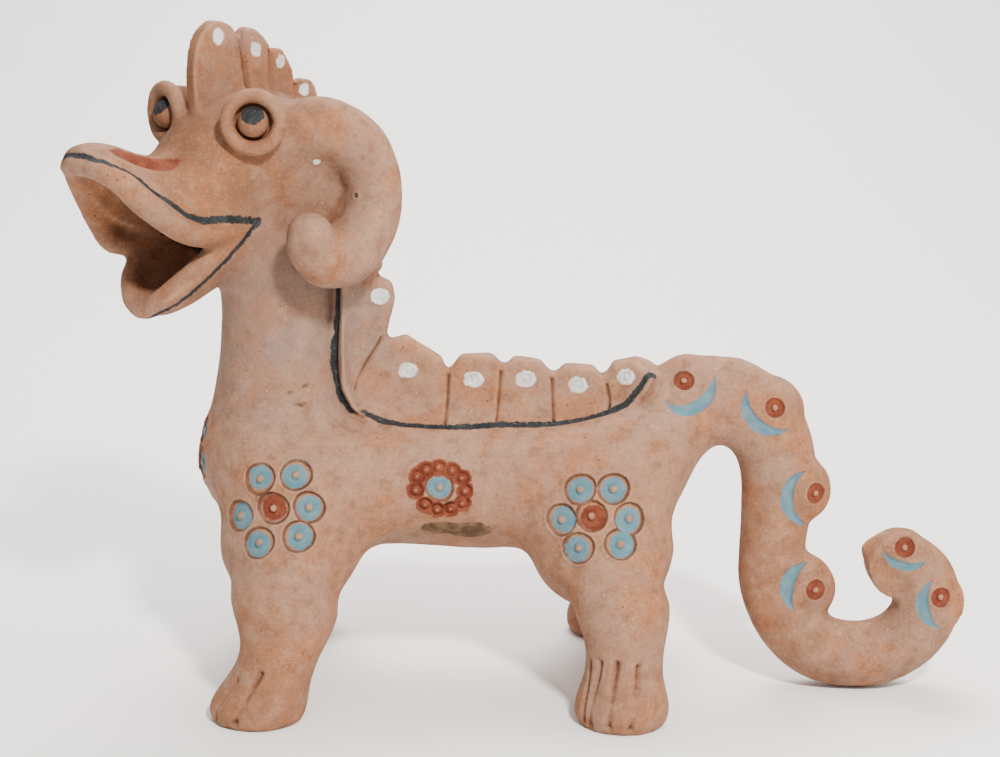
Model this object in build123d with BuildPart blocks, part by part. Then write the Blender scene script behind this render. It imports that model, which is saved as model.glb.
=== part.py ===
"""A hand-modelled clay beast: a four-legged dragon with a duck-like bill, curled ram's horns, cut
crests and a scalloped tail. Every roll, ball and strip of clay is one piece, cut where it is luted
to its neighbours. Millimetres, +Z up, the beast faces -X and its left flank is on -Y."""

import os
from math import cos, pi, radians, sin

from build123d import *

# Trunk: one thick roll of clay.
chest_x = -68.5  # foremost point of the chest
trunk_length = 104.0
back_height = 57.0
belly_height = 29.0
shoulder_width = 46.0
waist_width = 36.0
hip_width = 44.0
rump_rise = 8.0  # how far the rump stands above the back

# Legs: short tapered rolls, pressed flat underneath.
foreleg_setback = 14.4  # foot centre behind the chest
hindleg_setback = 16.3  # foot centre in front of the rump
foot_spread = 55.0  # left foot centre to right foot centre
forefoot_length = 19.2
hindfoot_length = 18.6
foot_width = 18.0
foreleg_thickness = 19.5
hindleg_thickness = 18.0

# Neck.
neck_setback = 17.0  # neck centre behind the chest
neck_thickness = 24.0
neck_rise = 52.0  # back to the middle of the head

# Head: turned towards the left flank.
head_turn = 40.0
head_left = 3.0
skull_length = 35.0
skull_width = 28.0
skull_height = 29.0
bill_reach = 38.0  # middle of the head to the tip of the upper bill
bill_width = 26.0
lip_thickness = 4.5
jaw_reach = 27.0
jaw_drop = 40.0  # degrees below level
jaw_width = 24.0
jaw_thickness = 3.6
mouth_depth = 16.0

# Eyes: a ring of clay round a pressed-in ball.
eye_ring_radius = 5.0
eye_ring_thickness = 3.4
eyeball_radius = 2.9
eye_pad_depth = 7.0  # lump of clay behind the ring
eye_height = 10.2

# Horns: a tapered roll curled round beside the cheek.
horn_coil_width = 18.4  # the coil's own line, front to back
horn_coil_height = 24.4
horn_root_thickness = 12.8
horn_tip_thickness = 8.4
horn_web_thickness = 6.0  # clay that closes the middle of the coil
horn_side = 19.0  # middle of the head to the middle of the coil

# Crests: strips with their tops cut into lobes.
crest_thickness = 7.0
crest_height = 12.0  # lobe tops above the back
crest_notch = 3.6
crest_lobes = 5
neck_crest_reach = 9.0  # lobes on the nape stand this far behind the neck
head_crest_thickness = 5.0
head_crest_height = 14.0

# Tail: a long roll that drops to the ground and curls back up.
tail_root_thickness = 21.0
tail_thickness = 14.0
tail_width = 13.0
tail_lean = 6.0  # the hook stands this far to the left
tail_lobe_radius = 7.0
tail_lobe_thickness = 8.0

rump_x = chest_x + trunk_length
neck_x = chest_x + neck_setback
head_z = back_height + neck_rise
trunk_middle = (back_height + belly_height) / 2
forefoot_x = chest_x + foreleg_setback
hindfoot_x = rump_x - hindleg_setback


def oval(plane, half_width, half_height):
    """One oval cross-section, its seam always on the plane's local +X side."""
    turns = [2 * pi * step / 8 for step in range(8)]
    with BuildSketch(plane) as section:
        with BuildLine():
            Spline([(half_width * cos(t), half_height * sin(t)) for t in turns], periodic=True)
        make_face()
    return section.sketch


def roll(centres, side, half_sizes):
    """Cross-sections along a bent roll: half_sizes are (sideways, in the plane of the bend)."""
    sections = []
    for place, (half_side, half_bend) in enumerate(half_sizes):
        before = Vector(*centres[max(place - 1, 0)])
        after = Vector(*centres[min(place + 1, len(centres) - 1)])
        plane = Plane(origin=centres[place], x_dir=side, z_dir=(after - before).normalized())
        sections.append(oval(plane, half_side, half_bend))
    return sections


# Trunk ------------------------------------------------------------------------------------------
trunk_height = back_height - belly_height


def trunk_ring(share, width, lift=0.0, girth=1.0):
    plane = Plane(
        origin=(chest_x + share * trunk_length, 0, trunk_middle + lift),
        x_dir=(0, 1, 0),
        z_dir=(1, 0, 0),
    )
    return oval(plane, width / 2, girth * trunk_height / 2)


with BuildPart() as trunk:
    loft(
        [
            trunk_ring(0.0, 0.24 * shoulder_width, lift=6.0, girth=0.35),
            trunk_ring(0.025, 0.52 * shoulder_width, lift=5.5, girth=0.70),
            trunk_ring(0.075, 0.80 * shoulder_width, lift=4.0, girth=0.97),
            trunk_ring(0.17, shoulder_width, lift=2.0, girth=1.08),
            trunk_ring(0.32, 0.92 * shoulder_width, lift=0.8, girth=1.02),
            trunk_ring(0.50, waist_width),
            trunk_ring(0.70, 0.88 * hip_width, lift=0.6, girth=1.0),
            trunk_ring(0.85, hip_width, lift=0.4 * rump_rise, girth=1.08),
            trunk_ring(0.935, 0.84 * hip_width, lift=0.85 * rump_rise, girth=1.04),
            trunk_ring(0.98, 0.56 * hip_width, lift=1.25 * rump_rise, girth=0.74),
            trunk_ring(1.0, 0.26 * hip_width, lift=1.35 * rump_rise, girth=0.36),
        ]
    )
trunk.part.label = "trunk"


# Legs -------------------------------------------------------------------------------------------
def leg_rings(foot_x, hand, foot_length, thickness, hip_shift, lean):
    """Sole, foot, instep, shank and the top that goes up inside the trunk."""
    foot_y = hand * foot_spread / 2
    rings = [
        # forward of the foot's middle, share of the foot's sideways place, height, half sizes
        (0, 1, 0, 0.46 * foot_length, 0.46 * foot_width),
        (0, 1, 2.6, 0.51 * foot_length, 0.51 * foot_width),
        (0.35 * lean, 1, 7.5, 0.46 * foot_length, 0.49 * foot_width),
        (lean, 0.95, 0.55 * belly_height, 0.45 * thickness, 0.46 * thickness),
        (hip_shift, 0.78, 0.92 * belly_height, 0.55 * thickness, 0.54 * thickness),
        (hip_shift, 0.48, trunk_middle, 0.46 * thickness, 0.36 * thickness),
    ]
    return [
        oval(Plane((foot_x + shift, share * foot_y, height)), along, across)
        for shift, share, height, along, across in rings
    ]


legs = []
for leg_name, foot_x, foot_length, thickness, hip_shift, lean in (
    ("foreleg", forefoot_x, forefoot_length, foreleg_thickness, 4.6, 5.2),
    ("hindleg", hindfoot_x, hindfoot_length, hindleg_thickness, -1.6, 0.4),
):
    for side, hand in (("left", -1), ("right", 1)):
        with BuildPart() as leg:
            loft(leg_rings(foot_x, hand, foot_length, thickness, hip_shift, lean))
            add(trunk.part, mode=Mode.SUBTRACT)
        leg.part.label = f"{leg_name}_{side}"
        legs.append(leg.part)


# Head -------------------------------------------------------------------------------------------
# In the head's own frame x is forward along the bill, y to the beast's left and z up.
turn = radians(head_turn)
head = Plane(
    origin=(neck_x - 6.5, -head_left, head_z), x_dir=(-cos(turn), -sin(turn), 0), z_dir=(0, 0, 1)
)


def across_head(forward, up):
    """Plane square to the bill: local x to the beast's left, local y up."""
    return Plane(origin=head.from_local_coords((forward, 0, up)), x_dir=head.y_dir, z_dir=head.x_dir)


def along_head(side=0.0):
    """Plane beside the head's middle: local x forward, local y up."""
    return Plane(origin=head.from_local_coords((0, side, 0)), x_dir=head.x_dir, z_dir=-head.y_dir)


def skull_ring(share, width, height, lift):
    return oval(across_head(share * skull_length, lift), width * skull_width, height * skull_height)


with BuildPart() as head_ball:
    loft(
        [
            skull_ring(-0.49, 0.15, 0.17, 0.0),
            skull_ring(-0.42, 0.31, 0.34, 0.4),
            skull_ring(-0.14, 0.48, 0.49, 1.2),
            skull_ring(0.16, 0.50, 0.47, 1.0),
            skull_ring(0.36, 0.46, 0.37, -0.5),
            skull_ring(0.49, 0.38, 0.24, -2.4),
        ]
    )

neck_rings = [
    # height, forward lean, share of the head's shift to the left, half width along X and Y
    (trunk_middle + 4, 0, 0, 0.60, 0.66),
    (back_height - 1, 0, 0, 0.63, 0.70),
    (back_height + 9, 0, 0, 0.56, 0.58),
    (back_height + 21, 0, 0.2, 0.50, 0.52),
    (head_z - 19, 1, 0.4, 0.51, 0.51),
    (head_z - 6, 3, 0.8, 0.46, 0.46),
]
with BuildPart() as neck:
    loft(
        [
            oval(
                Plane((neck_x - lean, -shift * head_left, height)),
                along * neck_thickness,
                across * neck_thickness,
            )
            for height, lean, shift, along, across in neck_rings
        ]
    )
    add(trunk.part, mode=Mode.SUBTRACT)
    add(head_ball.part, mode=Mode.SUBTRACT)
neck.part.label = "neck"


# Mouth: an arched upper bill over a trough-shaped lower jaw ----------------------------------------
def arch(plane, half_width, rise, thickness):
    """Cross-section of a bent strip: legs on the local X axis, crown at +Y, or at -Y if rise < 0."""
    inner_rise = rise - thickness if rise > 0 else rise + thickness
    with BuildSketch(plane) as section:
        with BuildLine():
            outer = ThreePointArc((-half_width, 0), (0, rise), (half_width, 0))
            inner = ThreePointArc(
                (half_width - thickness, 0), (0, inner_rise), (thickness - half_width, 0)
            )
            Line(outer @ 1, inner @ 0)
            Line(inner @ 1, outer @ 0)
        make_face()
    return section.sketch


def bill_arch(share, width, lip, crown):
    return arch(
        across_head(share * bill_reach, lip), width * bill_width / 2, crown - lip, lip_thickness
    )


with BuildPart() as upper_bill:
    loft(
        [
            bill_arch(0.27, 0.96, -12.5, 4.2),
            bill_arch(0.49, 1.00, -13.0, 3.0),
            bill_arch(0.63, 0.99, -11.0, 3.7),
            bill_arch(0.76, 0.96, -7.0, 5.4),
            bill_arch(0.89, 0.84, -1.2, 6.6),
            bill_arch(1.00, 0.56, 0.4, 6.0),
        ]
    )
    add(head_ball.part, mode=Mode.SUBTRACT)
    add(neck.part, mode=Mode.SUBTRACT)
upper_bill.part.label = "upper_bill"

drop = radians(jaw_drop)


def jaw_arch(share, width, depth):
    reach = share * jaw_reach
    origin = head.from_local_coords((4 + reach * cos(drop), 0, -9.5 - reach * sin(drop)))
    along = head.x_dir * cos(drop) - head.z_dir * sin(drop)
    plane = Plane(origin=origin, x_dir=head.y_dir, z_dir=along)
    return arch(plane, width * jaw_width / 2, -depth, jaw_thickness)


with BuildPart() as lower_jaw:
    loft(
        [
            jaw_arch(0.06, 1.00, 9.5),
            jaw_arch(0.30, 0.98, 8.6),
            jaw_arch(0.60, 0.93, 7.6),
            jaw_arch(0.85, 0.82, 6.4),
            jaw_arch(1.00, 0.66, 5.2),
        ]
    )
    add(head_ball.part, mode=Mode.SUBTRACT)
    add(neck.part, mode=Mode.SUBTRACT)
    add(upper_bill.part, mode=Mode.SUBTRACT)
lower_jaw.part.label = "lower_jaw"

throat_half_width = bill_width / 2 - lip_thickness
with BuildPart() as throat:
    with BuildSketch(along_head()):
        Polygon(
            (skull_length / 2 - mouth_depth, -10.5),
            (skull_length / 2 + 4, -2.6),
            (skull_length / 2 + 4, -22.0),
            (6.0, -13.5),
            align=None,
        )
    extrude(amount=throat_half_width, both=True)

with BuildPart() as skull:
    add(head_ball.part)
    add(throat.part, mode=Mode.SUBTRACT)
skull.part.label = "skull"


# Eyes -------------------------------------------------------------------------------------------
def eye_plane(forward, side, outward_turn):
    """Plane of an eye's rim, its normal turned from forward towards the left by outward_turn."""
    angle = radians(outward_turn)
    normal = head.x_dir * cos(angle) + head.y_dir * sin(angle)
    return Plane(origin=head.from_local_coords((forward, side, eye_height)), z_dir=normal)


eye_planes = {
    "left": eye_plane(0.22 * skull_length, 0.54 * skull_width, 50),
    "right": eye_plane(0.35 * skull_length, -0.32 * skull_width, -4),
}
# Horns ------------------------------------------------------------------------------------------
horn_steps = 9
horn_sweep = 240.0  # degrees of coil from root to tip
horn_start = 72.0  # degrees above forward where the root leaves the skull
coil_forward = -8.2
coil_up = -4.2


def horn_sections():
    """The right horn's cross-sections, from its root beside the crown to its blunt tip."""
    centres = []
    half_sizes = []
    for step in range(horn_steps):
        share = step / (horn_steps - 1)
        angle = radians(horn_start + share * horn_sweep)
        spread = horn_side - 7.0 * (1 - share) ** 3 + 3.5 * share**3
        forward = horn_coil_width / 2 * (1 + 0.35 * share**2) * cos(angle)
        up = horn_coil_height / 2 * sin(angle)
        centres.append(
            head.from_local_coords((coil_forward + forward, -spread, coil_up + up))
        )
        half = horn_root_thickness / 2 * (1 - share) + horn_tip_thickness / 2 * share
        half_sizes.append((half, half))
    return roll([tuple(centre) for centre in centres], head.y_dir, half_sizes)


# Crests -----------------------------------------------------------------------------------------
nape_x = neck_x + neck_thickness / 2
crest_start = nape_x + neck_crest_reach
crest_end = rump_x - 4.0
lobe_pitch = (crest_end - crest_start) / crest_lobes
buried = 6.0

with BuildPart() as back_crest:
    with BuildSketch(Plane.XZ):
        with BuildLine():
            outline = [
                (neck_x, back_height + 35),
                (nape_x + 0.5 * neck_crest_reach, back_height + 35),
                (nape_x + 0.95 * neck_crest_reach, back_height + 33),
                (nape_x + 0.7 * neck_crest_reach, back_height + 30),
                (nape_x + neck_crest_reach, back_height + 28.4),
                (nape_x + 1.2 * neck_crest_reach, back_height + 24),
                (nape_x + 1.05 * neck_crest_reach, back_height + 15),
            ]
            for lobe in range(crest_lobes):
                left = crest_start + lobe * lobe_pitch
                top = back_height + crest_height + (3.0 if lobe == 0 else 0)
                outline += [
                    (left + 0.24 * lobe_pitch, top),
                    (left + 0.76 * lobe_pitch, top),
                    (left + lobe_pitch, top - crest_notch),
                ]
            outline[-1] = (crest_end, back_height + rump_rise)
            outline += [
                (crest_end, back_height - buried),
                (neck_x, back_height - buried),
            ]
            Polyline(outline, close=True)
        make_face()
    extrude(amount=crest_thickness / 2, both=True)
    add(trunk.part, mode=Mode.SUBTRACT)
    add(neck.part, mode=Mode.SUBTRACT)

# Head crest: four lobes, tallest over the brow.
crown = skull_height / 2 + head_crest_height
with BuildPart() as head_crest:
    with BuildSketch(along_head()):
        with BuildLine():
            Polyline(
                (0.31 * skull_length, 0),
                (0.34 * skull_length, crown - 8),
                (0.27 * skull_length, crown - 1.5),
                (0.19 * skull_length, crown),
                (0.05 * skull_length, crown - 3.0),
                (-0.03 * skull_length, crown - 1.6),
                (-0.17 * skull_length, crown - 6.0),
                (-0.23 * skull_length, crown - 5.6),
                (-0.34 * skull_length, crown - 12.0),
                (-0.41 * skull_length, crown - 12.0),
                (-0.49 * skull_length, crown - 16.0),
                (-0.49 * skull_length, 0),
                close=True,
            )
        make_face()
    extrude(amount=head_crest_thickness / 2, both=True)
    add(head_ball.part, mode=Mode.SUBTRACT)
head_crest.part.label = "head_crest"

with BuildPart() as curled_roll:
    loft(horn_sections())
    with Locations(horn_sections()[-1].center()):
        Sphere(horn_tip_thickness / 2)
    with BuildSketch(along_head(-horn_side + 0.1 * horn_web_thickness)):
        with Locations((coil_forward, coil_up)):
            Ellipse(0.42 * horn_coil_height, 0.42 * horn_coil_width, rotation=90)
    extrude(amount=horn_web_thickness / 2, both=True)

horn_rolls = {"left": mirror(curled_roll.part, about=along_head()), "right": curled_roll.part}
horns = []
for side, horn_roll in horn_rolls.items():
    with BuildPart() as horn:
        add(horn_roll)
        for neighbour in (head_ball.part, neck.part, head_crest.part, lower_jaw.part, upper_bill.part):
            add(neighbour, mode=Mode.SUBTRACT)
    horn.part.label = f"horn_{side}"
    horns.append(horn.part)

eyes = []
for side, plane in eye_planes.items():
    with BuildPart() as eye_ring:
        with Locations(plane.location):
            Torus(eye_ring_radius, eye_ring_thickness / 2)
            with Locations((0, 0, -eye_pad_depth / 2)):
                Cylinder(eye_ring_radius + 0.3 * eye_ring_thickness, eye_pad_depth)
            with Locations((0, 0, eyeball_radius)):
                Sphere(1.35 * eyeball_radius, mode=Mode.SUBTRACT)
        for neighbour in (head_ball.part, head_crest.part):
            add(neighbour, mode=Mode.SUBTRACT)
    with BuildPart() as eyeball:
        with Locations(plane.location):
            Sphere(eyeball_radius)
        for neighbour in (head_ball.part, eye_ring.part):
            add(neighbour, mode=Mode.SUBTRACT)
    eye_ring.part.label = f"eye_ring_{side}"
    eyeball.part.label = f"eyeball_{side}"
    eyes += [eye_ring.part, eyeball.part]

# Tail -------------------------------------------------------------------------------------------
root_z = back_height + 2.5
ground_z = tail_thickness / 2
tail_path = [
    # behind the rump, share of the lean, height
    (-12.0, 0.0, root_z - 4.0),
    (0.5, 0.0, root_z),
    (10.0, 0.1, root_z - 1.0),
    (16.5, 0.25, root_z - 12.0),
    (16.0, 0.5, 0.50 * root_z),
    (18.5, 0.75, 0.27 * root_z),
    (25.5, 1.0, ground_z + 1.8),
    (34.5, 1.0, ground_z),
    (43.5, 1.0, ground_z + 3.0),
    (48.5, 1.0, ground_z + 11.5),
    (45.5, 1.0, ground_z + 20.0),
    (39.5, 1.0, ground_z + 22.5),
    (35.0, 1.0, ground_z + 21.0),
]
tail_centres = [(rump_x + x, -share * tail_lean, z) for x, share, z in tail_path]
tail_halves = [tail_root_thickness / 2] * 2
tail_halves += [share * tail_thickness for share in (0.64, 0.58, *[0.5] * 6, 0.42, 0.30, 0.16)]
tail_sides = [share * tail_width for share in (0.73, 0.65, *[0.5] * 8, 0.42, 0.34, 0.20)]

tail_lobes = [
    # behind the rump, share of the lean, height
    (13.5, 0.1, root_z - 2.5),
    (19.5, 0.4, 0.71 * root_z),
    (20.0, 0.8, 0.35 * root_z),
    (49.0, 1.0, ground_z + 12.5),
    (42.5, 1.0, ground_z + 20.0),
]
with BuildPart() as tail:
    loft(roll(tail_centres, (0, 1, 0), list(zip(tail_sides, tail_halves))))
    for x, share, z in tail_lobes:
        with Locations((rump_x + x, -share * tail_lean, z)):
            Cylinder(tail_lobe_radius, tail_lobe_thickness, rotation=(90, 0, 0))
    add(trunk.part, mode=Mode.SUBTRACT)
    add(back_crest.part, mode=Mode.SUBTRACT)
tail.part.label = "tail"
back_crest.part.label = "back_crest"

pieces = [
    trunk.part,
    *legs,
    neck.part,
    skull.part,
    upper_bill.part,
    lower_jaw.part,
    head_crest.part,
    back_crest.part,
    tail.part,
    *eyes,
    *horns,
]
os.makedirs("parts", exist_ok=True)
for piece in pieces:
    export_step(piece, f"parts/{piece.label}.step")
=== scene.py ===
"""A hand-modelled clay beast: solid rolls, strips and balls of clay luted together while wet, pressed
with a tube and a rod, fired without glaze and touched up with cold paint. Metres, in the frame of
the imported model: the beast faces -X, its left flank is on -Y and it stands on z = 0."""

from math import cos, pi, radians, sin

import bmesh
import bpy
import numpy as np
from mathutils import Matrix, Vector, noise
from mathutils.bvhtree import BVHTree


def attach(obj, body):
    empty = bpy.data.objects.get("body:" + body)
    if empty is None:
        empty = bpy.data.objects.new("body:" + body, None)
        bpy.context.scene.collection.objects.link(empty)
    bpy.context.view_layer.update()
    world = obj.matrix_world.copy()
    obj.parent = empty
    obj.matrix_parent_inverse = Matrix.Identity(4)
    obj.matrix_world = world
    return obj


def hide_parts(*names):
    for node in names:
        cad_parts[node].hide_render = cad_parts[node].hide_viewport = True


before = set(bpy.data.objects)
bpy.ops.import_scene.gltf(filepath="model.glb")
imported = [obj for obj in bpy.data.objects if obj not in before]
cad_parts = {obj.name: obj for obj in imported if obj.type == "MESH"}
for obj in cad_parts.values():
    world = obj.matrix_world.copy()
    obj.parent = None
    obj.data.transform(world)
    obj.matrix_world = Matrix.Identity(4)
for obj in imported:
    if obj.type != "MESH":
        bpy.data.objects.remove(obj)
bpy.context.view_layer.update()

MM = 0.001

# ==== Studio =====================================================================================
# A pale sheet that sweeps up behind the beast, a small lamp above and right of the camera and
# large soft ones. The camera looks down a little at the left flank.
camera = bpy.data.objects.new("camera", bpy.data.cameras.new("camera"))
bpy.context.scene.collection.objects.link(camera)
camera.data.lens = 75.17
camera.data.sensor_width = 36.0
camera.data.clip_start = 0.02
camera.matrix_world = (
    Matrix.Translation((-0.006, -0.424, 0.160))
    @ Matrix.Rotation(radians(77.3), 4, "X")
    @ Matrix.Rotation(radians(0.55), 4, "Z")
)
bpy.context.scene.camera = camera


def area_lamp(name, place, size, watts, colour, aim=(0, 0, 0.06)):
    lamp = bpy.data.objects.new(name, bpy.data.lights.new(name, "AREA"))
    bpy.context.scene.collection.objects.link(lamp)
    lamp.data.size = size
    lamp.data.energy = watts
    lamp.data.color = colour
    lamp.location = place
    lamp.rotation_euler = (Vector(aim) - Vector(place)).to_track_quat("-Z", "Y").to_euler()


area_lamp("key_lamp", (0.16, -0.50, 0.52), 0.07, 8.5, (1.0, 0.97, 0.93))
area_lamp("side_lamp", (0.70, -0.30, 0.45), 0.5, 3.0, (1.0, 0.86, 0.70))
area_lamp("top_lamp", (-0.10, 0.10, 1.1), 1.0, 6.0, (0.93, 0.96, 1.0))
area_lamp("sheet_lamp", (0.0, 0.36, 0.55), 0.4, 7.0, (1.0, 0.95, 0.91), (0, 0.40, 0))

world = bpy.data.worlds.new("room")
bpy.context.scene.world = world
world.use_nodes = True
world.node_tree.nodes["Background"].inputs["Color"].default_value = (0.88, 0.94, 1.0, 1)
world.node_tree.nodes["Background"].inputs["Strength"].default_value = 0.50

sweep_start = 0.35
sweep_radius = 0.6
sweep = bmesh.new()
bmesh.ops.create_grid(sweep, x_segments=4, y_segments=120, size=3.0)
for vert in sweep.verts:
    behind = vert.co.y - sweep_start
    if behind > 0:
        turn = min(behind / sweep_radius, pi / 2)
        vert.co.y = sweep_start + sweep_radius * sin(turn)
        vert.co.z = sweep_radius * (1 - cos(turn)) + max(0.0, behind - sweep_radius * pi / 2)
for face in sweep.faces:
    face.smooth = True
floor_data = bpy.data.meshes.new("floor")
sweep.to_mesh(floor_data)
sweep.free()
floor = bpy.data.objects.new("floor", floor_data)
bpy.context.scene.collection.objects.link(floor)
floor_paper = bpy.data.materials.new("floor_paper")
floor_paper.use_nodes = True
floor_paper.node_tree.nodes["Principled BSDF"].inputs["Base Color"].default_value = (0.88, 0.87, 0.86, 1)
floor_paper.node_tree.nodes["Principled BSDF"].inputs["Roughness"].default_value = 0.85
floor_data.materials.append(floor_paper)

# ==== Trunk ======================================================================================
# One thick solid roll of sandy red clay, smoothed by hand. Its flanks carry flowers pressed with
# the mouth of a tube and a rosette of small rod dots, filled with blue and red-brown cold paint.
pieces = {}
marks = []


def cad_copy(name):
    """The piece as it was rolled: a merged copy of its CAD node."""
    shape = bmesh.new()
    shape.from_mesh(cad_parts[name].data)
    bmesh.ops.remove_doubles(shape, verts=shape.verts, dist=1e-6)
    return shape


def lay_on(name, shape, material):
    """Declares one piece and keeps its raw shape for the luting."""
    mesh = bpy.data.meshes.new(name + "_clay")
    shape.to_mesh(mesh)
    shape.free()
    mesh.materials.append(material)
    piece = bpy.data.objects.new(name + "_clay", mesh)
    bpy.context.scene.collection.objects.link(piece)
    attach(piece, "root")
    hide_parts(name)
    pieces[name] = piece


def node(tree, kind, settings=None, **inputs):
    """A shader node; each input is a value or a (node, output) pair, keyed by name or i + index."""
    made = tree.nodes.new(kind)
    for key, value in (settings or {}).items():
        setattr(made, key, value)
    for key, value in inputs.items():
        socket = made.inputs[int(key[1:]) if key[1:].isdigit() else key.replace("_", " ")]
        if isinstance(value, tuple) and hasattr(value[0], "outputs"):
            tree.links.new(value[0].outputs[value[1]], socket)
        else:
            socket.default_value = value
    return made


def noise_at(tree, place, scale, detail=3.0, roughness=0.55):
    made = node(tree, "ShaderNodeTexNoise", Vector=place, Scale=scale, Detail=detail, Roughness=roughness)
    return (made, "Fac")


def ramp(tree, source, low, high, to_low=0.0, to_high=1.0):
    return (
        node(
            tree,
            "ShaderNodeMapRange",
            {"interpolation_type": "SMOOTHSTEP"},
            Value=source,
            From_Min=low,
            From_Max=high,
            To_Min=to_low,
            To_Max=to_high,
        ),
        "Result",
    )


def blend(tree, mask, under, over):
    return (node(tree, "ShaderNodeMix", {"data_type": "RGBA"}, i0=mask, i6=under, i7=over), 2)


def maths(tree, operation, first, second=0.0):
    return (node(tree, "ShaderNodeMath", {"operation": operation}, i0=first, i1=second), 0)


def attribute(tree, name):
    return (node(tree, "ShaderNodeAttribute", {"attribute_name": name}), "Fac")


def near_point(tree, place, centre, inner, outer):
    """1 within inner of a point of the beast, 0 beyond outer; millimetres."""
    gap = node(
        tree,
        "ShaderNodeVectorMath",
        {"operation": "DISTANCE"},
        i0=place,
        i1=tuple(MM * c for c in centre),
    )
    return ramp(tree, (gap, "Value"), outer * MM, inner * MM)


def fired_clay_group():
    """Sandy fired clay: pink flank, greyer neck, warmer head, feet and tail, clouds, grit, dark and pale
    specks; painted shade in hollows, grooves and at stamp walls, and a painted highlight on ridges.
    """
    tree = bpy.data.node_groups.new("fired_clay", "ShaderNodeTree")
    for socket, kind in (("Colour", "Color"), ("Roughness", "Float"), ("Height", "Float")):
        tree.interface.new_socket(socket, in_out="OUTPUT", socket_type="NodeSocket" + kind)
    sink = tree.nodes.new("NodeGroupOutput")
    place = (node(tree, "ShaderNodeTexCoord"), "Object")
    split = node(tree, "ShaderNodeSeparateXYZ", Vector=place)
    clouds = noise_at(tree, place, 38.0, 4.0, 0.6)
    patches = noise_at(tree, place, 95.0, 5.0, 0.65)
    smears = noise_at(tree, place, 300.0, 4.0, 0.6)
    grit = noise_at(tree, place, 1500.0, 3.0, 0.7)
    fine = noise_at(tree, place, 4200.0, 2.0, 0.6)

    feet = ramp(tree, (split, "Z"), 0.046, 0.018)
    colour = blend(tree, feet, (0.284, 0.142, 0.084, 1), (0.255, 0.108, 0.052, 1))
    colour = blend(tree, near_point(tree, place, (-51, 0, 78), 14, 30), colour, (0.205, 0.126, 0.088, 1))
    colour = blend(tree, near_point(tree, place, (-66, -8, 108), 18, 34), colour, (0.222, 0.088, 0.038, 1))
    colour = blend(tree, ramp(tree, (split, "X"), 0.040, 0.060), colour, (0.230, 0.101, 0.050, 1))
    colour = blend(tree, ramp(tree, clouds, 0.44, 0.60, 0.0, 0.62), colour, (0.256, 0.147, 0.099, 1))
    colour = blend(tree, ramp(tree, patches, 0.48, 0.62, 0.0, 0.70), colour, (0.301, 0.112, 0.044, 1))
    colour = blend(tree, ramp(tree, smears, 0.50, 0.66, 0.0, 0.42), colour, (0.348, 0.197, 0.120, 1))
    colour = blend(tree, ramp(tree, smears, 0.49, 0.34, 0.0, 0.55), colour, (0.164, 0.072, 0.036, 1))
    colour = blend(tree, ramp(tree, grit, 0.52, 0.70, 0.0, 0.42), colour, (0.376, 0.214, 0.132, 1))
    colour = blend(tree, ramp(tree, grit, 0.48, 0.32, 0.0, 0.40), colour, (0.141, 0.061, 0.032, 1))
    handled = maths(tree, "MULTIPLY", near_point(tree, place, (-51, 0, 78), 14, 30), 0.30)
    colour = blend(tree, handled, colour, (0.190, 0.150, 0.130, 1))
    smoked = maths(tree, "MULTIPLY", near_point(tree, place, (-62, -8, 108), 20, 36), 0.22)
    colour = blend(tree, smoked, colour, (0.120, 0.055, 0.030, 1))
    specks = (node(tree, "ShaderNodeTexVoronoi", Vector=place, Scale=520.0), "Distance")
    dark = maths(tree, "MULTIPLY", ramp(tree, specks, 0.16, 0.05), ramp(tree, patches, 0.50, 0.62))
    colour = blend(tree, dark, colour, (0.080, 0.039, 0.023, 1))
    chips = (node(tree, "ShaderNodeTexVoronoi", Vector=place, Scale=330.0), "Distance")
    light = maths(tree, "MULTIPLY", ramp(tree, chips, 0.075, 0.03), ramp(tree, clouds, 0.52, 0.60))
    colour = blend(tree, light, colour, (0.492, 0.352, 0.241, 1))
    # Painted shade: points sunk below their smoothed skin are darkened; a painted highlight lightens points
    # that stand proud of it.
    hollow = attribute(tree, "hollow")
    colour = blend(tree, ramp(tree, hollow, 0.05, 0.9, 0.0, 0.85), colour, (0.123, 0.046, 0.021, 1))
    colour = blend(tree, ramp(tree, hollow, -0.15, -1.0, 0.0, 0.40), colour, (0.381, 0.215, 0.128, 1))
    # Painted shade along sharp edges: darkest just inside a stamp's wall, in the middle of each cut and
    # outside each crescent, with a ragged edge.
    ragged_shade_edge = maths(tree, "MULTIPLY", smears, 0.5)
    rim = maths(tree, "ADD", attribute(tree, "rim"), ragged_shade_edge)
    colour = blend(tree, ramp(tree, rim, 0.56, 0.24, 0.0, 0.92), colour, (0.080, 0.032, 0.017, 1))
    tree.links.new(colour[0].outputs[colour[1]], sink.inputs["Colour"])

    height = maths(tree, "ADD", maths(tree, "MULTIPLY", grit, 0.55), maths(tree, "MULTIPLY", fine, 0.25))
    height = maths(tree, "ADD", height, maths(tree, "MULTIPLY", smears, 0.9))
    tree.links.new(height[0].outputs[0], sink.inputs["Height"])
    rough = ramp(tree, patches, 0.3, 0.7, 0.78, 0.92)
    tree.links.new(rough[0].outputs[rough[1]], sink.inputs["Roughness"])
    return tree


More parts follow.
